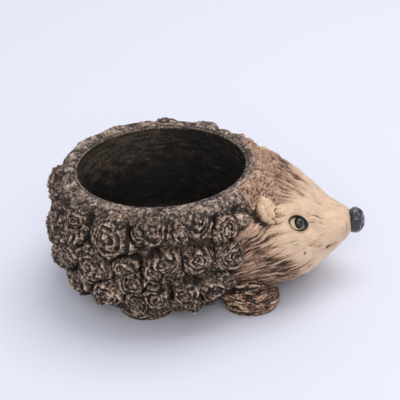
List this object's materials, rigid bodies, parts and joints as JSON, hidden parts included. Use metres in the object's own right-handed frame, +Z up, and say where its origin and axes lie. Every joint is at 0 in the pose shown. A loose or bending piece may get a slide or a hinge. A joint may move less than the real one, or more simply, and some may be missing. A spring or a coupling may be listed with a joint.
{
  "type": "planter",
  "caption": "Hedgehog shaped planter with an oval hollow, a drain hole, coiled rosette quills, a tan face and flat soles.",
  "frame": {"origin": "on the floor that the soles stand on, under the middle of the length and width", "axes": "+X to the nose, +Z up, so the animal's left side is +Y"},
  "size_m": [0.1445, 0.1092, 0.06],
  "materials": {
    "dark_bark": "matte",
    "brow_brown": "matte",
    "face_tan": "matte",
    "lid_brown": "satin",
    "nose_black": "satin",
    "eye_gloss": "gloss"
  },
  "bodies": {
    "root": {"forehead_mat": "brow_brown", "head": "face_tan", "left_ear": "face_tan", "left_eye": "eye_gloss", "left_eyelid": "lid_brown", "left_front_foot": "dark_bark", "left_lower_rosette_1": "dark_bark", "left_lower_rosette_2": "dark_bark", "left_lower_rosette_3": "dark_bark", "left_lower_rosette_4": "dark_bark", "left_lower_rosette_5": "dark_bark", "left_lower_rosette_6": "dark_bark", "left_middle_rosette_1": "dark_bark", "left_middle_rosette_2": "dark_bark", "left_middle_rosette_3": "dark_bark", "left_middle_rosette_4": "dark_bark", "left_middle_rosette_5": "dark_bark", "left_middle_rosette_6": "dark_bark", "left_middle_rosette_7": "dark_bark", "left_rear_foot": "dark_bark", "left_upper_rosette_1": "dark_bark", "left_upper_rosette_2": "dark_bark", "left_upper_rosette_3": "dark_bark", "left_upper_rosette_4": "dark_bark", "left_upper_rosette_5": "dark_bark", "left_upper_rosette_6": "dark_bark", "left_upper_rosette_7": "dark_bark", "nose": "nose_black", "pot_shell": "dark_bark", "right_ear": "face_tan", "right_eye": "eye_gloss", "right_eyelid": "lid_brown", "right_front_foot": "dark_bark", "right_lower_rosette_1": "dark_bark", "right_lower_rosette_2": "dark_bark", "right_lower_rosette_3": "dark_bark", "right_lower_rosette_4": "dark_bark", "right_lower_rosette_5": "dark_bark", "right_lower_rosette_6": "dark_bark", "right_middle_rosette_1": "dark_bark", "right_middle_rosette_2": "dark_bark", "right_middle_rosette_3": "dark_bark", "right_middle_rosette_4": "dark_bark", "right_middle_rosette_5": "dark_bark", "right_middle_rosette_6": "dark_bark", "right_middle_rosette_7": "dark_bark", "right_rear_foot": "dark_bark", "right_upper_rosette_1": "dark_bark", "right_upper_rosette_2": "dark_bark", "right_upper_rosette_3": "dark_bark", "right_upper_rosette_4": "dark_bark", "right_upper_rosette_5": "dark_bark", "right_upper_rosette_6": "dark_bark", "right_upper_rosette_7": "dark_bark", "rim_band": "dark_bark", "tail_lower_rosette": "dark_bark", "tail_upper_rosette": "dark_bark"}
  },
  "joints": []
}
